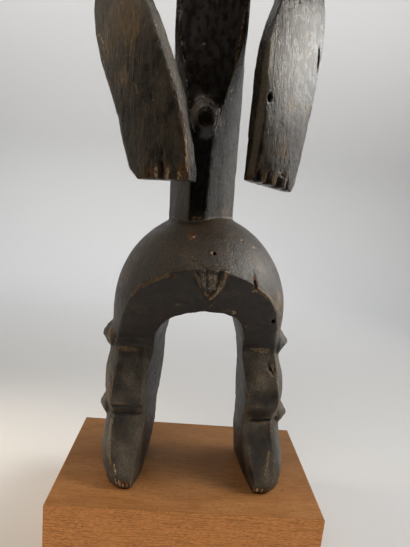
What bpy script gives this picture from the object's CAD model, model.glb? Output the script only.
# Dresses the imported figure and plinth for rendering. Metres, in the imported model's own frame.
import math

import bmesh
import bpy
import numpy as np
from mathutils import Matrix, Vector, kdtree
from mathutils.bvhtree import BVHTree


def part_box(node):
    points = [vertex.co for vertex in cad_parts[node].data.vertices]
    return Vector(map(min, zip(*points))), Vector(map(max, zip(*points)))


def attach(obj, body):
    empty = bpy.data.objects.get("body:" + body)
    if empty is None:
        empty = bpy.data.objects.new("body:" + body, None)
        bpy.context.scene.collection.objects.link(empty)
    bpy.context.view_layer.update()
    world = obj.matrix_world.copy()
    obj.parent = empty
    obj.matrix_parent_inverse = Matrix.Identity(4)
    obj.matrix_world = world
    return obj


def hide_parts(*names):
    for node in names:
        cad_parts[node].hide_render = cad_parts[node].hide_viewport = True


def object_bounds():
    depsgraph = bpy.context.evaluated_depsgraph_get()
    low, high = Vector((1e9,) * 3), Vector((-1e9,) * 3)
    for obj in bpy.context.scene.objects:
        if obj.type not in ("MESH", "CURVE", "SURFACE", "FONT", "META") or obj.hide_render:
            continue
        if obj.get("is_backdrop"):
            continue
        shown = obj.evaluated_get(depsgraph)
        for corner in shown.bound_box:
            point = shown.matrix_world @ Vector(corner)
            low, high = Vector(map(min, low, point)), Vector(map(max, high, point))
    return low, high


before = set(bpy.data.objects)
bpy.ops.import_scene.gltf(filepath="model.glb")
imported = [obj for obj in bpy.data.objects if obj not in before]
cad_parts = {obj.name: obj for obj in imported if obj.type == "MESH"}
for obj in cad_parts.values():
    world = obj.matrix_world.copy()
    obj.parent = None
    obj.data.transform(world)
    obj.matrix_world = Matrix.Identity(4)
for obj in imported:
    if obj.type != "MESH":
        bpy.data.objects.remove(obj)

MM = 0.001
cad_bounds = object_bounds()

# Camera: its place, its turns in degrees and its focal length in pixels of the 410 x 547 frame
CAMERA_AT = (-0.02196, -0.44699, 0.40319)
CAMERA_YAW, CAMERA_PITCH, CAMERA_ROLL = 2.82385, 10.11475, 5.33906
FOCAL_PX = 390
FRAME_HEIGHT_PX = 547
SENSOR_MM = 36

# Carved mesh
WELD = 0.01 * MM
VOXEL = 1.0 * MM
TRIANGLES = 190000
CREASE_ANGLE = math.radians(24)
CREASE_SAMPLE = 1.0 * MM
CREASE_REACH = (1.0 * MM, 5.0 * MM)
SMOOTH_ROUNDS = 90
SETTLE_ROUNDS = 2
BEVEL_TURN = math.radians(27)

# Where parts of the figure begin and end, in millimetres. A pair is a fade from the first to the second.
MIDDLE = -16.5
BESIDE_TORSO = (38, 42)
BEFORE_TORSO = (-51.5, -54)
LEGS_TOP = (262, 250)
SLOPE_FOOT = (235, 250)
SLOPE_RIM = (350, 345)
HIPS_TOP = 395
TORSO_FOOT = (393, 396)
HANDS_END = (412, 416)
CHEST_TOP = (640, 600)
ARMS_TOP = (690, 660)
NAVEL_AT = (-16, 484)
NAVEL_REACH = (15, 19)


# Camera
def add_camera():
    yaw, pitch, roll = (math.radians(a) for a in (CAMERA_YAW, CAMERA_PITCH, CAMERA_ROLL))
    # The rows of this matrix are the camera's right, down and forward directions.
    turn = (
        Matrix.Rotation(roll, 3, "Z")
        @ Matrix.Rotation(pitch, 3, "X")
        @ Matrix(((1, 0, 0), (0, 0, -1), (0, 1, 0)))
        @ Matrix.Rotation(yaw, 3, "Z")
    )
    right, down, forward = turn
    axes = Matrix((right, -down, -forward)).transposed().to_4x4()
    data = bpy.data.cameras.new("camera")
    data.sensor_fit = "VERTICAL"
    data.sensor_height = SENSOR_MM
    data.lens = SENSOR_MM * FOCAL_PX / FRAME_HEIGHT_PX
    data.clip_start = 0.01
    camera = bpy.data.objects.new("camera", data)
    camera.matrix_world = Matrix.Translation(CAMERA_AT) @ axes
    bpy.context.scene.collection.objects.link(camera)
    bpy.context.scene.camera = camera


# Mesh helpers
def new_object(name, mesh):
    made = bpy.data.objects.new(name, mesh)
    bpy.context.scene.collection.objects.link(made)
    return made


def evaluated(obj, name):
    """obj's mesh with its modifiers applied."""
    shown = obj.evaluated_get(bpy.context.evaluated_depsgraph_get())
    mesh = bpy.data.meshes.new_from_object(shown)
    mesh.name = name
    return mesh


def read(collection, attribute, width, kind=np.float64):
    values = np.empty(len(collection) * width, kind)
    collection.foreach_get(attribute, values)
    return values.reshape(-1, width) if width > 1 else values


def smoothstep(low, high, x):
    t = np.clip((x - low) / (high - low), 0, 1)
    return t * t * (3 - 2 * t)


# Noise
CELLS = 64
LATTICE = np.random.default_rng(7).random((CELLS, CELLS, CELLS))


def noise(points, size, shift=0.0):
    """Smooth noise from 0 to 1. size is the cell's size along X, Y and Z."""
    p = points / np.asarray(size) + shift
    cell = np.floor(p).astype(int)
    t = p - cell
    t = t * t * (3 - 2 * t)
    total = np.zeros(len(p))
    for corner in range(8):
        step = np.array([corner & 1, corner >> 1 & 1, corner >> 2 & 1])
        weight = np.prod(np.where(step, t, 1 - t), axis=1)
        x, y, z = ((cell + step) % CELLS).T
        total += weight * LATTICE[x, y, z]
    return total


def layered(points, size, octaves=3, shift=0.0):
    """Noise of several sizes, from 0 to 1."""
    total, weight = 0.0, 0.0
    for octave in range(octaves):
        share = 0.5**octave
        total = total + share * noise(points, np.asarray(size) * share, shift + 11.3 * octave)
        weight += share
    return total / weight


# Holes and slits cut into the wood. Places and sizes are in millimetres, and left and right are the
# picture's. A hole has a place, its half width, its half height and its depth.
HOLES = [
    ((-24, -48, 551), 0.9, 0.9, 2),
    ((-65, -67, 493), 1.3, 1.5, 5),
    ((41, -69, 504), 2.4, 4.2, 9),
    ((90, -31, 571), 1.1, 1.3, 4),
    ((62, -47, 596), 1.3, 1.5, 5),
    ((3, -84, 358), 1.6, 1.8, 6),
    ((31, -62, 371), 1.2, 1.4, 4),
    ((72, -63, 290), 1.7, 2.6, 7),
    ((-48, -7, 199), 1.3, 1.5, 5),
    ((61.8, -60.6, 437), 2.1, 2.4, 9),
]
# A slit has the points that it runs through, its half widths and its depths there, and how far it
# runs on past the last point.
SLITS = [
    # Gaps between the fingers
    ([(-76, -59, 438), (-75, -58, 430), (-75, -57, 422)], [0.6, 0.9, 1.2], [2, 4, 5], 8),
    ([(-65, -65, 441), (-64, -64, 431), (-64, -63, 422)], [0.7, 1.4, 2.3], [3, 6, 7], 8),
    ([(-53.5, -70, 446), (-53, -70, 434), (-52.5, -69, 422)], [0.8, 1.9, 3.5], [3, 7, 8], 8),
    ([(-41.5, -75, 438), (-41, -75, 430), (-40.5, -74, 422)], [1.0, 2.4, 3.4], [4, 7, 8], 8),
    ([(39, -70, 442), (38.5, -70, 435), (38, -70, 428)], [0.8, 2.8, 5.0], [4, 8, 9], 8),
    ([(48.5, -67, 442), (48.7, -67, 434), (48.8, -67, 427)], [0.8, 2.2, 3.7], [4, 8, 9], 8),
    ([(60, -62, 442), (60, -62, 434), (60, -61, 426)], [1.6, 2.8, 4.4], [5, 9, 10], 8),
    ([(69, -56, 441), (70, -56, 433), (70.5, -55, 425)], [0.7, 1.2, 2.0], [3, 6, 7], 8),
    # Cracks
    ([(90, -33, 569), (91, -33, 555), (91, -34, 534)], [0.9, 2.3, 1.0], [3, 8, 3], 0),
    ([(43, -81, 345), (44, -86, 334), (45, -84, 325)], [0.6, 2.2, 1.2], [2, 4, 2.5], 0),
    ([(77, -39, 235), (81, -41, 228), (84, -42, 222)], [0.9, 1.9, 1.0], [3, 5, 3], 0),
    ([(84, -39, 233), (86.5, -41, 227), (88, -42, 222)], [0.8, 1.6, 0.8], [3, 5, 3], 0),
]
# A slit's cutter has sections this far apart and starts this far outside the wood. Its mouth and its
# root are these shares of the slit's width. A hole's cutter starts 2.5 millimetres outside the wood.
SLIT_STEP = 3 * MM
SLIT_CLEARANCE = 4 * MM
SLIT_MOUTH = 1.1
SLIT_ROOT = 0.4
HOLE_CLEARANCE = 2.5
HOLE_SIDES = 12


def cutter_rings(surface, path, halves, depths, overrun):
    """Four-cornered sections along a slit, from clear of the wood to its depth inside."""
    points = [Vector(p) * MM for p in path]
    normal = sum((surface.find_nearest(p)[1] for p in points), Vector()).normalized()
    run = (points[-1] - points[0]).normalized()
    side = normal.cross(run).normalized()
    stations = []
    for i in range(len(points) - 1):
        count = max(1, int((points[i + 1] - points[i]).length / SLIT_STEP))
        for share in (j / count for j in range(count)):
            place = points[i].lerp(points[i + 1], share)
            half = halves[i] + (halves[i + 1] - halves[i]) * share
            deep = depths[i] + (depths[i + 1] - depths[i]) * share
            stations.append((surface.find_nearest(place)[0], half, deep))
    end = surface.find_nearest(points[-1])[0]
    stations.append((end, halves[-1], depths[-1]))
    if overrun:
        grow = (halves[-1] - halves[0]) * overrun * MM / (points[-1] - points[0]).length
        stations.append((end + run * overrun * MM, halves[-1] + grow, depths[-1]))
    for place, half, deep in stations:
        top = place + normal * SLIT_CLEARANCE
        bottom = place - normal * deep * MM
        across = side * half * MM
        mouth = across * SLIT_MOUTH
        root = across * SLIT_ROOT
        yield [top - mouth, top + mouth, bottom + root, bottom - root]


def hole_rings(surface, place, half_width, half_height, depth):
    """Oval sections along a hole, from clear of the wood to its narrower bottom."""
    place, normal, _, _ = surface.find_nearest(Vector(place) * MM)
    across = normal.cross(Vector((0, 0, 1))).normalized()
    up = across.cross(normal)
    for out, share in ((HOLE_CLEARANCE, 1.05), (0, 1.0), (-0.6 * depth, 0.85), (-depth, 0.4)):
        yield [
            place
            + normal * out * MM
            + across * half_width * share * MM * math.cos(math.tau * i / HOLE_SIDES)
            + up * half_height * share * MM * math.sin(math.tau * i / HOLE_SIDES)
            for i in range(HOLE_SIDES)
        ]


def add_loft(bm, rings):
    """A closed solid through rings that have the same number of points."""
    rows = [[bm.verts.new(p) for p in ring] for ring in rings]
    for low, high in zip(rows, rows[1:]):
        for i in range(len(low)):
            j = (i + 1) % len(low)
            bm.faces.new((low[i], low[j], high[j], high[i]))
    bm.faces.new(rows[0][::-1])
    bm.faces.new(rows[-1])


def cut(mesh):
    """The mesh with the holes and slits taken out."""
    bm = bmesh.new()
    bm.from_mesh(mesh)
    bmesh.ops.remove_doubles(bm, verts=bm.verts, dist=WELD)
    surface = BVHTree.FromBMesh(bm)
    welded = bpy.data.meshes.new("welded")
    bm.to_mesh(welded)
    bm.free()

    bm = bmesh.new()
    for hole in HOLES:
        add_loft(bm, hole_rings(surface, *hole))
    for slit in SLITS:
        add_loft(bm, cutter_rings(surface, *slit))
    bmesh.ops.recalc_face_normals(bm, faces=bm.faces)
    knives = bpy.data.meshes.new("knives")
    bm.to_mesh(knives)
    bm.free()

    wood, knife = new_object("wood", welded), new_object("knife", knives)
    boolean = wood.modifiers.new("cut", "BOOLEAN")
    boolean.operation = "DIFFERENCE"
    boolean.solver = "MANIFOLD"
    boolean.object = knife
    made = evaluated(wood, "cut")
    for used in (wood, knife):
        bpy.data.objects.remove(used)
    return made


# Carved figure
def crease_trees(mesh):
    """Sample points along the edges that stay crisp: all of them, and only the outer ones."""
    bm = bmesh.new()
    bm.from_mesh(mesh)
    bmesh.ops.remove_doubles(bm, verts=bm.verts, dist=WELD)
    every, outer = [], []
    for edge in bm.edges:
        if len(edge.link_faces) != 2:
            continue
        turn = edge.calc_face_angle_signed(0)
        if abs(turn) > CREASE_ANGLE:
            a, b = (v.co for v in edge.verts)
            count = max(1, int((b - a).length / CREASE_SAMPLE))
            samples = [a.lerp(b, i / count) for i in range(count + 1)]
            every += samples
            if turn > 0:
                outer += samples
    bm.free()
    return tree_of(every), tree_of(outer)


def tree_of(points):
    tree = kdtree.KDTree(len(points))
    for i, point in enumerate(points):
        tree.insert(point, i)
    tree.balance()
    return tree


def surface_of(mesh):
    bm = bmesh.new()
    bm.from_mesh(mesh)
    surface = BVHTree.FromBMesh(bm)
    bm.free()
    return surface


def nearest_on(surface, points):
    """The places on a surface nearest to each point, and its normals there."""
    hits = [surface.find_nearest(p) for p in points]
    return np.array([hit[0] for hit in hits]), np.array([hit[1] for hit in hits])


def distances(tree, points):
    return np.array([tree.find(p)[2] for p in points])


def neighbour_mean(values, edges, degree):
    """The mean of each vertex's neighbours, which number its degree."""
    a, b = edges.T
    count = len(values)
    columns = [
        np.bincount(a, values[b, i], count) + np.bincount(b, values[a, i], count)
        for i in range(values.shape[1])
    ]
    return np.stack(columns, axis=1) / degree


def scallops(points, size, shift):
    """Shallow hollows side by side, as a gouge leaves them: 0 at their rims and 1 in their middles."""
    p = points / np.asarray(size) + shift
    cell = np.floor(p).astype(int)
    nearest = np.full(len(p), 9.0)
    for step in np.ndindex(3, 3, 3):
        there = cell + np.array(step) - 1
        x, y, z = (there % CELLS).T
        spot = there + np.stack([LATTICE[x, y, z], LATTICE[y, z, x], LATTICE[z, x, y]], axis=1)
        nearest = np.minimum(nearest, ((p - spot) ** 2).sum(axis=1))
    return np.clip(1 - nearest, 0, 1)


def path_distance(points, path):
    """Each point's distance from a path of straight stretches, all in millimetres."""
    nearest = np.full(len(points), np.inf)
    corners = np.array(path, float)
    for a, b in zip(corners, corners[1:]):
        run = b - a
        share = np.clip((points - a) @ run / (run @ run), 0, 1)
        away = points - a - share[:, None] * run
        nearest = np.minimum(nearest, np.sqrt((away**2).sum(axis=1)))
    return nearest


# A groove has the points that it runs through, a half width and a depth, in millimetres. A ridge's
# depth is negative.
GROOVES = [
    # Gouge marks under the knees
    ([(-92, -46, 173), (-76, -47, 173.5), (-59, -44, 173)], 2.8, 2.4),
    ([(-90, -40, 167), (-76, -42, 166.5), (-61, -39, 167)], 1.3, -0.8),
    ([(-92, -35, 160), (-76, -36, 160), (-59, -35, 160)], 2.4, 2.2),
    ([(58, -33, 161), (74, -33, 161), (92, -33, 163)], 1.8, 1.8),
    ([(56, -42, 196), (74, -47, 194), (91, -44, 197)], 2.0, 1.1),
    ([(61, -36, 165), (80, -36, 163), (98, -26, 161)], 2.2, 1.5),
    # The wedge's ribs and the furrows between them
    ([(-14, -93, 341), (-9, -89, 328), (-3, -86, 318)], 1.2, -0.9),
    ([(-8.5, -94, 342), (-5, -91, 329)], 1.1, -0.8),
    ([(4.5, -95, 343), (4.5, -92, 328)], 1.2, -1.0),
    ([(15, -95, 343), (13, -91, 330), (8, -87, 320), (3, -84, 314)], 2.4, -1.5),
    ([(-11.5, -94, 341), (-7, -90, 329)], 0.9, 0.9),
    ([(-3, -95, 343), (-1, -91, 328), (0, -87, 320)], 1.7, 1.9),
    ([(9.5, -95, 343), (8.5, -92, 330), (4, -87, 320)], 1.4, 1.7),
    ([(-17, -88, 336), (-12, -86, 326), (-5, -84, 315)], 2.0, 1.4),
    ([(19, -87, 338), (17, -86, 328), (8, -84, 315)], 2.0, 1.5),
    # Cuts above and below the wedge
    ([(-18, -89, 350), (-12, -91, 349), (-5, -94, 344)], 1.3, 0.6),
    ([(1, -83, 313), (9, -71, 302)], 1.0, 0.7),
    ([(9, -75, 309), (4, -70, 301)], 1.0, 0.7),
]

# Depths of the carver's marks and of wear, in millimetres, and how far from an edge a nick reaches
WAVE = 0.8
LONG_CUT = 0.35
FINE_CUT = 0.3
PIT = 0.5
GRIT = 0.45
NICK = 0.8
NICK_REACH = (3.5 * MM, 0.5 * MM)


def at_navel(points):
    x, y, z = (points / MM).T
    away = np.hypot((x - NAVEL_AT[0]) / NAVEL_REACH[0], (z - NAVEL_AT[1]) / NAVEL_REACH[1])
    return smoothstep(1.5, 1.0, away) * smoothstep(-40, -46, y)


def zones(points, normals):
    """How far each point belongs to the arms, to the slope under the hips and to the legs."""
    x, y, z = (points / MM).T
    off_torso = np.maximum(smoothstep(*BESIDE_TORSO, abs(x - MIDDLE)), smoothstep(*BEFORE_TORSO, y))
    arms = off_torso * smoothstep(*HANDS_END, z) * smoothstep(*ARMS_TOP, z) * (1 - at_navel(points))
    down = smoothstep(-0.15, -0.35, normals[:, 2])
    slope = down * smoothstep(*SLOPE_FOOT, z) * smoothstep(*SLOPE_RIM, z)
    legs = smoothstep(*LEGS_TOP, z)
    return arms, slope, legs


def relief(points, normals, to_outer):
    """How far the carver's tools and wear moved the surface, in metres along its normal."""
    arms, slope, legs = zones(points, normals)
    body = 1 - np.clip(arms + slope + legs, 0, 1)
    wave = WAVE * (layered(points, (0.03, 0.03, 0.05), 2) - 0.5)
    long_cuts = LONG_CUT * scallops(points, (0.012, 0.012, 0.05), 3.7)
    fine_cuts = FINE_CUT * (noise(points, (0.0025, 0.0025, 0.018), 8.1) - 0.5)
    pits = PIT * scallops(points, (0.008, 0.008, 0.006), 21.3)
    grit = GRIT * (layered(points, (0.005, 0.005, 0.006), 2, 5.5) - 0.5)
    moved = wave + arms * (0.5 - long_cuts + fine_cuts) - slope * (pits - grit)
    moved -= legs * (0.6 * long_cuts + 0.7 * pits - grit) + body * (0.3 * long_cuts - 0.5 * fine_cuts)
    nicks = smoothstep(0.55, 0.85, layered(points, (0.009, 0.009, 0.015), 2, 2.2))
    moved -= NICK * nicks * smoothstep(*NICK_REACH, to_outer)
    uneven = 0.6 + 0.8 * noise(points, (0.005, 0.005, 0.005), 14.9)
    for path, half, deep in GROOVES:
        moved -= deep * uneven * np.exp(-((path_distance(points / MM, path) / half) ** 2))
    return moved * MM


def carved_mesh(node):
    """The figure's solid cut, worn and tooled as a fine mesh, and a tree of its outer edges."""
    base = cut(node.data)
    every, outer = crease_trees(base)
    source = new_object("voxels", base)
    remesh = source.modifiers.new("voxels", "REMESH")
    remesh.mode = "VOXEL"
    remesh.voxel_size = VOXEL
    mesh = evaluated(source, "carved")
    bpy.data.objects.remove(source)

    points = read(mesh.vertices, "co", 3)
    edges = read(mesh.edges, "vertices", 2, np.int32)
    degree = np.bincount(edges.ravel(), minlength=len(points))[:, None]
    free = smoothstep(*CREASE_REACH, distances(every, points))
    free = np.maximum(free, 0.6 * at_navel(points))[:, None]
    for _ in range(SMOOTH_ROUNDS):
        points += free * (neighbour_mean(points, edges, degree) - points)
    for _ in range(SETTLE_ROUNDS):
        points += 0.5 * (neighbour_mean(points, edges, degree) - points)
    mesh.vertices.foreach_set("co", points.ravel())
    mesh.update()
    normals = read(mesh.vertex_normals, "vector", 3)
    points += normals * relief(points, normals, distances(outer, points))[:, None]
    points = np.clip(points, *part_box(node.name))
    mesh.vertices.foreach_set("co", points.ravel())
    mesh.update()
    return mesh, outer


def decimated(mesh, name):
    """The mesh thinned out to TRIANGLES, except by its small marks."""
    source = new_object("dense", mesh)
    # Only vertices in the group are thinned out, so the small marks keep theirs.
    plain = source.vertex_groups.new(name="plain")
    unmarked = np.flatnonzero(~near_marks(read(mesh.vertices, "co", 3) / MM))
    plain.add(unmarked.tolist(), 1.0, "REPLACE")
    decimate = source.modifiers.new("fewer", "DECIMATE")
    decimate.ratio = TRIANGLES / sum(len(p.vertices) - 2 for p in mesh.polygons)
    decimate.vertex_group = plain.name
    made = evaluated(source, name)
    bpy.data.objects.remove(source)
    made.polygons.foreach_set("use_smooth", [True] * len(made.polygons))
    made.update()
    return made


# Where the wood is worn, chipped, dusty or dark with soot, in millimetres. A patch has a mask, a
# place, its reach along X, Y and Z, and its strength. A line has a mask, the points that it runs
# through, a half width and its strength.
PATCHES = [
    # Ends of the hands
    ("bare", (-76, -58, 422), (8, 8, 8), 0.75),
    ("bare", (-64, -64, 425), (8, 8, 15), 0.9),
    ("bare", (-50, -70, 428), (9, 8, 18), 0.95),
    ("bare", (-34, -76, 428), (8, 8, 14), 0.85),
    ("pale", (-58, -68, 428), (3, 5, 11), 0.72),
    ("pale", (-47, -72, 427), (3, 5, 11), 0.75),
    ("pale", (-36, -76, 426), (6, 5, 6), 0.66),
    ("bare", (31, -65, 430), (7, 8, 7), 0.85),
    ("bare", (54, -58, 424), (22, 12, 5), 0.65),
    ("worn", (44, -69, 432), (4, 8, 12), 0.6),
    ("worn", (54, -65, 431), (4, 8, 12), 0.6),
    # Left arm
    ("worn", (-100, -50, 590), (38, 24, 84), 0.8),
    ("worn", (-90, -57, 562), (18, 14, 48), 0.9),
    ("worn", (-112, -42, 545), (22, 14, 34), 0.7),
    ("worn", (-96, -53, 512), (13, 10, 15), 0.75),
    ("bare", (-107, -44, 512), (4, 8, 12), 0.6),
    # Right arm
    ("worn", (60, -61, 462), (19, 14, 26), 0.5),
    ("worn", (62, -59, 500), (18, 12, 14), 0.62),
    ("bare", (41, -69, 504), (4.5, 6, 6), 0.5),
    ("worn", (76, -48, 560), (14, 14, 34), 0.45),
    ("worn", (80, -45, 500), (12, 12, 26), 0.5),
    # Torso
    ("bare", (-12, -54, 501), (12, 6, 5), 0.55),
    ("bare", (-2, -50, 488), (5, 6, 15), 0.55),
    ("worn", (0, -49, 480), (6, 6, 26), 0.6),
    ("dust", (-27, -55, 486), (7, 10, 15), 0.5),
    ("pale", (7, -46, 512), (2.2, 3, 4), 0.6),
    ("pale", (8, -44, 506), (1.8, 3, 3), 0.6),
    ("bare", (-24, -48, 551), (1.8, 3, 1.8), 1.0),
    ("worn", (12, -28, 398), (14, 14, 12), 0.6),
    # Dome
    ("worn", (-50, -50, 365), (44, 40, 32), 0.42),
    ("worn", (-82, -45, 325), (26, 34, 40), 0.5),
    ("worn", (-5, -50, 385), (40, 25, 12), 0.4),
    ("bare", (-19, -70, 371), (8, 9, 6), 0.85),
    ("pale", (-18, -71, 371), (3, 5, 3), 0.6),
    ("bare", (-17, -55, 382), (5, 6, 3), 0.5),
    ("bare", (3, -84, 358), (8, 6, 6), 0.62),
    ("pale", (1, -84, 359), (3, 4, 2), 0.58),
    ("bare", (45, -84, 333), (5, 6, 12), 0.95),
    ("pale", (45, -85, 325), (4, 4, 3), 0.62),
    ("pale", (44, -59, 365), (3.5, 4, 2.5), 0.6),
    ("pale", (32, -61, 372), (2.5, 3, 2), 0.58),
    ("worn", (74, -60, 312), (14, 14, 20), 0.75),
    ("dust", (50, -72, 350), (18, 18, 16), 0.5),
    # Slope and arch
    ("pale", (-2, -86, 317), (4, 6, 4), 0.66),
    ("bare", (-1, -86, 318), (9, 9, 7), 0.8),
    ("dust", (1, -93, 332), (19, 10, 17), 0.9),
    ("pale", (2, -92, 331), (17, 9, 17), 0.4),
    ("pale", (29, -68, 298), (4, 4, 4), 0.7),
    ("worn", (24, -70, 299), (14, 5, 5), 0.6),
    ("bare", (-33, -90, 334), (6, 5, 5), 0.7),
    ("worn", (-28, -71, 302), (4, 5, 3), 0.75),
    ("worn", (45, -58, 281), (3, 4, 2.5), 0.8),
    ("worn", (-65, -68, 292), (16, 16, 16), 0.42),
    ("worn", (20, -80, 320), (30, 12, 12), 0.4),
    # Knobs
    ("worn", (-100, -30, 253), (9, 12, 13), 0.95),
    ("bare", (-99, -40, 182), (9, 14, 12), 0.55),
    ("worn", (-99, -40, 182), (11, 16, 15), 0.7),
    ("worn", (105, -18, 178), (8, 10, 12), 0.4),
    # Legs
    ("worn", (-80, -35, 238), (22, 7, 5), 0.85),
    ("bare", (-88, -36, 236), (8, 7, 4), 0.6),
    ("worn", (68, -38, 249), (19, 8, 6), 0.95),
    ("pale", (72, -38, 246), (14, 7, 1.6), 0.6),
    ("worn", (83, -41, 228), (10, 8, 10), 0.8),
    ("bare", (86, -41, 226), (6, 8, 6), 0.7),
    ("worn", (72, -43, 218), (12, 10, 10), 0.7),
    ("dust", (74, -45, 212), (16, 10, 17), 0.75),
    ("dust", (-78, -45, 205), (18, 10, 24), 0.7),
    ("worn", (78, -34, 158), (16, 6, 3), 0.7),
    ("dust", (-70, -52, 128), (14, 10, 12), 0.75),
    ("soot", (-76, -40, 164), (22, 14, 16), 0.9),
    ("soot", (74, -40, 172), (20, 14, 20), 0.95),
    ("soot", (79, -50, 118), (16, 16, 34), 0.7),
    # Toes
    ("bare", (-72, -60, 87), (18, 12, 9), 0.75),
    ("bare", (78, -54, 84), (15, 12, 8), 0.75),
]
LINES = [
    # Front inner edge of the left arm
    ("bare", [(-37, -73, 482), (-34, -75.5, 467), (-31, -77, 450), (-29, -78, 428)], 3.4, 1.0),
    ("pale", [(-33.5, -75, 462), (-31, -77, 452), (-29, -78, 432)], 2.2, 0.72),
    # Scratches on the left arm
    ("pale", [(-128, -31, 552), (-124, -34, 553), (-119, -38, 545)], 1.8, 0.62),
    ("pale", [(-128, -31, 552), (-126, -32, 544)], 1.8, 0.55),
    ("pale", [(-120, -36, 535), (-118, -38, 527)], 1.6, 0.55),
    ("worn", [(-84, -59, 506), (-80, -60, 498)], 1.8, 0.9),
    # Inner bevels of both arms
    ("dust", [(34, -66, 590), (34, -66, 500), (31, -64, 436)], 9, 0.95),
    ("dust", [(-66, -45, 567), (-56, -56, 538), (-46, -63, 511), (-36, -62, 489), (-26, -64, 447)], 8, 1.0),
    # Right edge of the torso's front, and the dark strip down its middle
    ("bare", [(12.5, -47, 590), (11, -47.5, 566), (9.8, -48.4, 550)], 2.6, 0.5),
    ("worn", [(10, -48, 548), (6, -48, 525), (2, -49, 506)], 3.0, 0.6),
    ("soot", [(-18, -52, 470), (-16.5, -49, 430), (-16, -49, 388)], 13, 1.0),
    # Foot of the torso
    ("worn", [(-42, -25, 386), (-18, -50, 388), (8, -40, 390), (23, -20, 391)], 2.6, 0.85),
    # Ribs of the wedge
    ("worn", [(-14, -93, 341), (-9, -89, 328), (-3, -86, 318)], 2.0, 0.75),
    ("worn", [(-8.5, -94, 342), (-5, -91, 329)], 1.8, 0.7),
    ("pale", [(4.5, -95, 343), (4.5, -92, 330)], 1.5, 0.6),
    ("worn", [(15, -95, 343), (13, -91, 330), (8, -87, 320), (3, -84, 314)], 3.4, 0.85),
    ("pale", [(11, -91, 327), (8, -87, 320), (4, -84, 315)], 2.4, 0.66),
    ("worn", [(1, -83, 313), (9, -71, 302)], 1.6, 0.6),
    ("worn", [(9, -75, 309), (4, -70, 301)], 1.6, 0.6),
    # Rim of the arch
    ("worn", [(-75, -73, 309), (-65, -80, 319), (-50, -86, 329), (-38, -90, 335)], 3.2, 0.9),
    ("bare", [(-75, -73, 309), (-65, -80, 319), (-50, -86, 329)], 2.2, 0.6),
    ("worn", [(45, -87, 329), (60, -79, 319), (72, -67, 308), (80, -55, 296)], 3.6, 0.95),
    ("bare", [(60, -79, 319), (72, -67, 308)], 2.4, 0.6),
    # Edges of the legs
    ("worn", [(-96, -33, 232), (-96, -40, 215), (-93, -46, 200), (-92, -50, 186)], 3.2, 0.95),
    ("bare", [(-95, -42, 208), (-93, -46, 198), (-92, -50, 184)], 2.4, 0.7),
    ("worn", [(-94, -33, 150), (-92, -45, 130), (-88, -53, 108)], 2.6, 0.8),
    ("worn", [(90, -36, 238), (92, -41, 226), (91, -45, 205), (90, -40, 170)], 2.8, 0.8),
    ("worn", [(91, -40, 145), (91, -45, 128), (88, -52, 105)], 2.6, 0.9),
    ("pale", [(91, -45, 128), (92, -42, 136)], 1.8, 0.62),
    ("pale", [(-84, -54, 108), (-82, -56, 101)], 1.6, 0.65),
    # Chips of the toes
    ("pale", [(-82, -56, 104), (-81, -57, 98)], 1.0, 1.0),
    ("pale", [(-81.5, -58.5, 94), (-79, -59, 89)], 1.2, 1.0),
    ("pale", [(-77, -59.5, 92), (-75, -59.5, 86)], 1.2, 1.0),
    ("pale", [(-72, -59.5, 88), (-71.5, -59.5, 82)], 1.3, 1.0),
    ("pale", [(-67.5, -59, 87), (-68, -59, 82)], 1.1, 1.0),
    ("pale", [(-62, -57, 91), (-63.5, -57.5, 83)], 1.4, 1.0),
    ("pale", [(72, -46, 88), (73, -50, 82)], 1.5, 1.0),
    ("pale", [(75.5, -53, 90), (75.5, -53, 84)], 1.0, 1.0),
    ("pale", [(80, -54.5, 88), (80.5, -54.3, 82)], 1.2, 1.0),
    ("pale", [(86, -54.4, 88), (84.5, -54.4, 82)], 1.1, 1.0),
    # Shadowed gouges under the knees, with a lighter ridge between them
    ("soot", [(-92, -46, 174), (-76, -47, 174.5), (-61, -44, 174)], 4.5, 1.0),
    ("soot", [(-92, -35, 159.5), (-76, -36, 159.5), (-61, -35, 159.5)], 3.2, 1.0),
    ("worn", [(-88, -40, 167), (-76, -42, 166.5), (-63, -39, 167)], 1.5, 0.6),
    ("worn", [(66, -32, 158.5), (76, -33, 159), (90, -34, 160)], 1.6, 0.7),
    # Lighter bevels of the legs
    ("dust", [(-58, -38, 226), (-58, -41, 210), (-58, -44, 188)], 7, 1.0),
    ("dust", [(-58, -40, 150), (-57, -50, 120)], 3.5, 0.85),
    ("dust", [(-100, -24, 224), (-101, -31, 205), (-97, -40, 192)], 6, 0.9),
]

# Around a small mark the mesh stays fine this far, in millimetres. A line as wide as BROAD needs none.
AROUND_CUT = 3
AROUND_LINE = 2
AROUND_PATCH = 1
BROAD = 6


def near_marks(points):
    """Whether each point, in millimetres, lies by a mark too small for a coarse mesh."""
    found = np.zeros(len(points), bool)
    for path, halves, _, _ in SLITS:
        found |= path_distance(points, path) < max(halves) + AROUND_CUT
    for place, half, _, _ in HOLES:
        found |= ((points - place) ** 2).sum(axis=1) < (half + AROUND_CUT) ** 2
    for _, path, half, _ in LINES:
        if half < BROAD:
            found |= path_distance(points, path) < half + AROUND_LINE
    for mask, place, reach, _ in PATCHES:
        if mask == "pale":
            away = (points - place) / (np.array(reach) + AROUND_PATCH)
            found |= (away**2).sum(axis=1) < 1
    return found


# Where edges are worn, and from where to where hollows get dark, in millimetres
EDGE_WEAR = (2.6, 0.5)
DARK_DEPTH = (0.9, 2.4)


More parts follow.
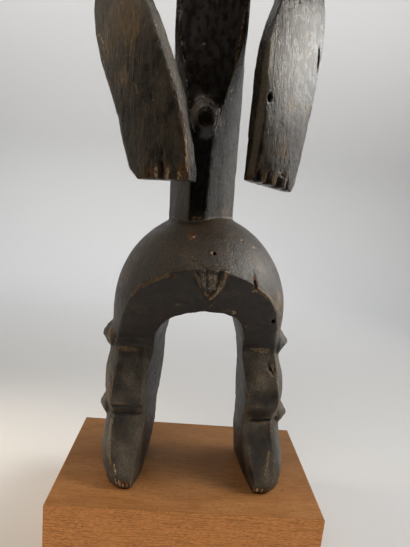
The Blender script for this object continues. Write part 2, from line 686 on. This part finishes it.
def smooth_masks(points, normals, outer, mm, facing):
    """The masks before any single mark is added.

    mm is each point's place on the solid, in millimetres, and facing is the solid's normal there.
    """
    to_outer = distances(outer, points) / MM
    arms, slope, legs = zones(points, normals)
    x, y, z = mm.T
    body = 1 - np.clip(arms + slope + legs, 0, 1)
    hips = body * (z < HIPS_TOP)
    core = (1 - arms) * smoothstep(*TORSO_FOOT, z) * smoothstep(*CHEST_TOP, z)
    core_front = core * smoothstep(-0.93, -0.975, facing[:, 1])
    inner = legs * smoothstep(0.84, 0.94, -np.sign(x) * facing[:, 0]) * smoothstep(-38, -28, y)
    chipped = smoothstep(0.40, 0.6, layered(points, (0.012,) * 3, 2, 6.4))
    edge = chipped * smoothstep(*EDGE_WEAR, to_outer)
    mottle = layered(points, (0.014, 0.014, 0.02), 3, 9.9)
    stains = smoothstep(0.42, 0.62, layered(mm, (16, 16, 24), 3, 4.7))
    soot = np.maximum(core_front, slope * (0.4 + 0.6 * mottle) + 0.35 * legs * stains)
    return {
        "bare": edge * (0.3 + 0.2 * slope) * (1 - legs),
        "worn": np.maximum(edge * (0.35 + 0.35 * legs), 0.6 * mottle * hips),
        "pale": np.zeros(len(mm)),
        "soot": np.maximum(soot, inner * (0.5 + 0.5 * mottle)),
        "dust": np.maximum(legs * (0.2 + 0.6 * mottle), 0.34 * arms * (x < MIDDLE)),
        "matt": np.clip(legs + 0.8 * slope + 0.5 * hips, 0, 1),
    }


def masks(points, normals, outer, surface):
    """How bare, worn, pale, sooty, dusty and matt the wood is at each point, from 0 to 1."""
    # Marks are placed on the solid, so that relief and ridges don't lift them off.
    places, facing = nearest_on(surface, points)
    mm = places / MM
    made = smooth_masks(points, normals, outer, mm, facing)
    for name, place, reach, strength in PATCHES:
        away = np.sqrt((((mm - place) / reach) ** 2).sum(axis=1))
        made[name] = np.maximum(made[name], strength * smoothstep(1.0, 0.3, away))
    for name, path, half, strength in LINES:
        on = smoothstep(half, 0.3 * half, path_distance(mm, path))
        made[name] = np.maximum(made[name], strength * on)
    made["dust"] *= 1 - 0.8 * made["soot"]
    # Holes, slits and gouges are dark inside.
    depth = ((mm - points / MM) * facing).sum(axis=1)
    deep = smoothstep(*DARK_DEPTH, depth)
    made["soot"] = np.maximum(made["soot"], deep)
    for name in ("bare", "worn", "pale", "dust"):
        made[name] *= 1 - 0.7 * deep
    return made


def paint(mesh, outer, surface):
    """Keeps the masks as attributes of the mesh, for its material."""
    points = read(mesh.vertices, "co", 3)
    normals = read(mesh.vertex_normals, "vector", 3)
    for name, values in masks(points, normals, outer, surface).items():
        attribute = mesh.attributes.new(name, "FLOAT", "POINT")
        attribute.data.foreach_set("value", values.astype(np.float32))


def bend_normals(mesh, surface):
    """Turns the shading of the left arm's inner bevel to the front, so that it catches the light."""
    normals = read(mesh.vertex_normals, "vector", 3)
    places, facing = nearest_on(surface, read(mesh.vertices, "co", 3))
    x, _, z = (places / MM).T
    bevel = smoothstep(0.7, 0.78, facing[:, 0]) * smoothstep(-0.3, -0.34, facing[:, 1])
    share = bevel * (x < MIDDLE) * smoothstep(415, 420, z) * smoothstep(*CHEST_TOP, z)
    angle = -share * BEVEL_TURN
    across = normals[:, 0] * np.cos(angle) - normals[:, 1] * np.sin(angle)
    ahead = normals[:, 0] * np.sin(angle) + normals[:, 1] * np.cos(angle)
    up = normals[:, 2] * (1 - 0.75 * share)
    bent = np.stack([across, ahead, up], axis=1)
    bent /= np.linalg.norm(bent, axis=1)[:, None]
    mesh.normals_split_custom_set_from_vertices(bent.tolist())


# Materials
class Finish:
    """A material, with short ways to add its nodes."""

    def __init__(self, name):
        self.material = bpy.data.materials.new(name)
        self.material.use_nodes = True
        self.tree = self.material.node_tree
        self.shader = self.tree.nodes["Principled BSDF"].inputs
        self.place = self.tree.nodes.new("ShaderNodeTexCoord").outputs["Object"]

    def feed(self, socket, value):
        if isinstance(value, bpy.types.NodeSocket):
            self.tree.links.new(value, socket)
        else:
            socket.default_value = value

    def add(self, kind, *inputs, **settings):
        made = self.tree.nodes.new(kind)
        for key, value in settings.items():
            setattr(made, key, value)
        for socket, value in zip(made.inputs, inputs):
            self.feed(socket, value)
        return made

    def math(self, operation, a, b):
        return self.add("ShaderNodeMath", a, b, operation=operation).outputs[0]

    def noise(self, size, detail=3, shift=0.0, roughness=0.55):
        """Noise from 0 to 1, whose cells have the size given in millimetres along X, Y and Z."""
        scale = tuple(1 / (s * MM) for s in size)
        scaled = self.add("ShaderNodeVectorMath", self.place, scale, operation="MULTIPLY").outputs[0]
        moved = self.add("ShaderNodeVectorMath", scaled, (shift,) * 3, operation="ADD").outputs[0]
        made = self.tree.nodes.new("ShaderNodeTexNoise")
        self.feed(made.inputs["Vector"], moved)
        for name, value in (("Scale", 1.0), ("Detail", detail), ("Roughness", roughness)):
            made.inputs[name].default_value = value
        return made.outputs[0]

    def between(self, value, low, high, start=0.0, end=1.0):
        """start up to low, end from high, and a smooth step between them."""
        made = self.add("ShaderNodeMapRange", value, low, high, start, end)
        made.interpolation_type = "SMOOTHSTEP"
        return made.outputs[0]

    def mask(self, name):
        """One of the mesh's painted masks."""
        return self.add("ShaderNodeAttribute", attribute_name=name).outputs["Fac"]

    def broken(self, mask, grain, spread=0.9, low=0.42, high=0.62):
        """A mask with its rim broken up by a noise. It stays 0 where the mask is."""
        swing = self.math("MULTIPLY", self.math("SUBTRACT", grain, 0.5), spread)
        ragged = self.between(self.math("ADD", mask, swing), low, high)
        return self.math("MULTIPLY", ragged, self.between(mask, 0.02, 0.3))

    def mix(self, share, a, b):
        """Colour a where share is 0, and colour b where it is 1."""
        made = self.tree.nodes.new("ShaderNodeMix")
        made.data_type = "RGBA"
        for index, value in ((0, share), (6, a), (7, b)):
            if isinstance(value, tuple):
                value = (*value, 1.0)
            self.feed(made.inputs[index], value)
        return made.outputs[2]

    def bump(self, height, distance, under=None):
        """Relief as deep as the distance in millimetres, on top of another bump where one is given."""
        made = self.tree.nodes.new("ShaderNodeBump")
        made.inputs["Distance"].default_value = distance * MM
        self.feed(made.inputs["Height"], height)
        if under:
            self.feed(made.inputs["Normal"], under)
        return made.outputs[0]


def figure_material():
    """Dark oiled wood under an old patina, worn to brown and pale wood in places."""
    finish = Finish("dark_wood")
    streaks = finish.noise((1.1, 1.1, 14), 4, 3.1)
    scratches = finish.noise((0.6, 0.6, 7), 3, 17.5)
    clouds = finish.noise((20, 20, 32), 4, 8.3)
    patches = finish.noise((6, 6, 10), 4, 53.0)
    specks = finish.noise((1.6, 1.6, 2.2), 4, 29.0, 0.65)
    splinters = finish.noise((1.0, 1.0, 4.0), 3, 41.2)

    # Patina, in soft clouds with brown patches, lighter streaks and near-black specks
    patina = finish.mix(finish.between(clouds, 0.4, 0.6), (0.011, 0.0078, 0.0045), (0.030, 0.0215, 0.0125))
    patina = finish.mix(finish.between(patches, 0.48, 0.62, 0, 0.6), patina, (0.048, 0.030, 0.016))
    patina = finish.mix(finish.between(streaks, 0.52, 0.66, 0, 0.4), patina, (0.070, 0.048, 0.028))
    patina = finish.mix(finish.between(specks, 0.54, 0.68, 0, 0.5), patina, (0.006, 0.004, 0.003))
    patina = finish.mix(finish.math("MULTIPLY", finish.mask("worn"), 0.5), patina, (0.060, 0.040, 0.022))
    soot = finish.mask("soot")
    colour = finish.mix(soot, patina, (0.0045, 0.0022, 0.0009))

    # Over it tan where it is worn, a grey film of dust, brown where it is gone, and pale chips
    tan = finish.mix(finish.between(streaks, 0.4, 0.6), (0.085, 0.050, 0.018), (0.24, 0.15, 0.06))
    worn = finish.broken(finish.mask("worn"), splinters, 1.8, 0.35, 0.85)
    colour = finish.mix(worn, colour, tan)
    film = finish.mix(finish.between(specks, 0.42, 0.62), (0.100, 0.080, 0.055), (0.200, 0.168, 0.125))
    dusty = finish.broken(finish.mask("dust"), clouds, 0.9, 0.1, 0.95)
    colour = finish.mix(finish.math("MULTIPLY", dusty, 0.9), colour, film)
    brown = finish.mix(finish.between(specks, 0.42, 0.62), (0.030, 0.011, 0.004), (0.20, 0.078, 0.018))
    bare = finish.broken(finish.mask("bare"), splinters, 1.8)
    colour = finish.mix(bare, colour, brown)
    chip = finish.mix(specks, (0.55, 0.43, 0.26), (0.27, 0.18, 0.08))
    pale = finish.broken(finish.mask("pale"), splinters, 3.0, 0.45, 0.65)
    colour = finish.mix(pale, colour, chip)
    finish.feed(finish.shader["Base Color"], colour)

    roughness = finish.between(patches, 0.35, 0.65, 0.22, 0.36)
    for share, rougher in ((bare, 0.25), (dusty, 0.1), (finish.mask("matt"), 0.27)):
        roughness = finish.math("ADD", roughness, finish.math("MULTIPLY", share, rougher))
    finish.feed(finish.shader["Roughness"], roughness)
    finish.shader["Specular IOR Level"].default_value = 0.55

    # The grain's relief, calmer under soot
    calm = finish.math("SUBTRACT", 1.0, finish.math("MULTIPLY", soot, 0.8))
    grain = None
    for height, distance in ((scratches, 0.3), (specks, 0.15), (streaks, 0.5), (patches, 0.5)):
        grain = finish.bump(finish.math("MULTIPLY", height, calm), distance, grain)
    finish.feed(finish.shader["Normal"], grain)
    return finish.material


def plinth_material():
    """Waxed medium-brown wood, its grain along X, with short dark pores. Its front is lighter."""
    finish = Finish("plinth_wood")
    bands = finish.noise((110, 30, 14), 3, 2.2)
    grain = finish.noise((22, 1.2, 1.1), 3, 9.1)
    ripple = finish.noise((5.0, 2.4, 1.5), 3, 15.4)
    pores = finish.noise((4.2, 0.8, 0.8), 2, 31.7)
    depth = finish.add("ShaderNodeSeparateXYZ", finish.place).outputs["Y"]
    front_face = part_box("plinth")[0][1]
    front = finish.between(depth, front_face, front_face + 0.6 * MM, 1.0, 0.0)

    top = finish.mix(finish.between(bands, 0.35, 0.65), (0.37, 0.160, 0.050), (0.47, 0.215, 0.074))
    face = finish.mix(finish.between(ripple, 0.4, 0.6), (0.53, 0.212, 0.060), (0.64, 0.275, 0.088))
    top = finish.mix(finish.between(depth, -70 * MM, 30 * MM, 0, 0.6), top, (0.16, 0.088, 0.042))
    colour = finish.mix(front, top, face)
    colour = finish.mix(finish.between(grain, 0.48, 0.64, 0, 0.45), colour, (0.21, 0.082, 0.025))
    colour = finish.mix(finish.between(pores, 0.58, 0.68, 0, 0.6), colour, (0.13, 0.045, 0.012))
    finish.feed(finish.shader["Base Color"], colour)
    finish.feed(finish.shader["Roughness"], finish.between(grain, 0.3, 0.7, 0.5, 0.65))
    finish.shader["Specular IOR Level"].default_value = 0.2
    finish.feed(finish.shader["Normal"], finish.bump(grain, 0.06))
    return finish.material


# Stage
def backdrop_material():
    finish = Finish("backdrop")
    finish.shader["Base Color"].default_value = (0.72, 0.72, 0.73, 1)
    finish.shader["Roughness"].default_value = 0.9
    return finish.material


def add_stage():
    """A pale floor that rises into a pale wall behind, in one smooth sweep."""
    half_width, front, back, bend, height = 4.0, -2.0, 1.8, 0.7, 3.2
    bend_steps = 12
    below_plinth = 0.5 * MM
    profile = [(front, 0.0)]
    for i in range(bend_steps + 1):
        angle = math.radians(90 * i / bend_steps)
        profile.append((back - bend + bend * math.sin(angle), bend - bend * math.cos(angle)))
    profile.append((back, height))
    verts = [(x, y, z - below_plinth) for y, z in profile for x in (-half_width, half_width)]
    faces = [(2 * i, 2 * i + 1, 2 * i + 3, 2 * i + 2) for i in range(len(profile) - 1)]
    mesh = bpy.data.meshes.new("backdrop")
    mesh.from_pydata(verts, [], faces)
    mesh.polygons.foreach_set("use_smooth", [True] * len(mesh.polygons))
    backdrop = new_object("backdrop", mesh)
    backdrop.data.materials.append(backdrop_material())
    backdrop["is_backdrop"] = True


# A light has a name, a place, the point that it faces, its width and height, its power, its colour
# and the angle that it spreads over, in degrees.
LIGHTS = [
    ("key", (1.2, -0.18, 1.12), (0.0, -0.05, 0.45), (0.8, 0.7), 4.6, (0.97, 0.97, 0.96), 110),
    ("hot", (1.22, -0.12, 1.14), (0.05, -0.05, 0.5), (0.18, 0.5), 1.9, (1.0, 0.86, 0.64), 110),
    ("glint", (1.15, 0.44, 1.05), (0.05, -0.07, 0.35), (0.4, 0.4), 0.5, (0.92, 0.96, 1.0), 60),
    ("side", (1.5, 0.5, 0.45), (0.0, 0.0, 0.42), (0.8, 0.8), 2.5, (1.0, 0.99, 0.96), 120),
    ("fill", (-1.2, 0.2, 0.8), (0.0, 0.0, 0.45), (0.9, 1.2), 1.1, (1.0, 0.9, 0.76), 110),
    ("sky", (-0.5, -0.9, 1.7), (0.0, -0.05, 0.35), (1.0, 0.7), 2.5, (1.0, 0.9, 0.76), 110),
    ("wall", (-0.1, 0.9, 2.2), (-0.1, 1.8, 0.9), (4.0, 0.7), 22, (1.0, 0.99, 0.96), 110),
    ("bend", (-0.2, 0.5, 1.4), (-0.2, 1.25, 0.0), (3.0, 0.5), 2.0, (0.76, 0.88, 1.0), 90),
    ("front", (-0.02, -0.42, 0.02), (-0.02, -0.085, 0.035), (0.6, 0.06), 0.1, (1.0, 0.9, 0.76), 60),
    ("floor", (-0.9, 0.1, 0.25), (-0.38, 0.05, 0.0), (0.3, 0.3), 0.6, (1.0, 0.88, 0.72), 45),
    ("right", (0.9, -0.3, 0.9), (0.45, 0.05, 0.0), (0.3, 0.3), 0.1, (0.6, 0.8, 1.0), 55),
]
WORLD_COLOUR = (1.0, 0.98, 0.94, 1)
WORLD_STRENGTH = 0.015


def add_light(name, place, aim, size, power, colour, spread):
    data = bpy.data.lights.new(name, "AREA")
    data.shape = "RECTANGLE"
    data.size, data.size_y = size
    data.energy = power
    data.color = colour
    data.spread = math.radians(spread)
    lamp = new_object(name, data)
    lamp.visible_camera = False
    lamp.location = place
    lamp.rotation_euler = (Vector(aim) - Vector(place)).to_track_quat("-Z", "Y").to_euler()


def add_lights():
    world = bpy.data.worlds.new("world")
    world.use_nodes = True
    background = world.node_tree.nodes["Background"]
    background.inputs["Color"].default_value = WORLD_COLOUR
    background.inputs["Strength"].default_value = WORLD_STRENGTH
    bpy.context.scene.world = world
    for light in LIGHTS:
        add_light(*light)


# Assembly
add_camera()
add_stage()
add_lights()
bpy.context.scene.view_settings.view_transform = "Standard"

figure_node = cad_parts["figure"]
plinth_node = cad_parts["plinth"]

dense, outer_edges = carved_mesh(figure_node)
carved = new_object("figure_carved", decimated(dense, "figure_carved"))
cad_surface = surface_of(figure_node.data)
paint(carved.data, outer_edges, cad_surface)
bend_normals(carved.data, cad_surface)
carved.data.materials.clear()
carved.data.materials.append(figure_material())
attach(carved, "root")
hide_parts("figure")

plinth_wood = plinth_material()
for slot in plinth_node.material_slots:
    slot.material = plinth_wood

boxes = {"cad": cad_bounds, "visual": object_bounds()}
corners = {name: [list(corner) for corner in box] for name, box in boxes.items()}
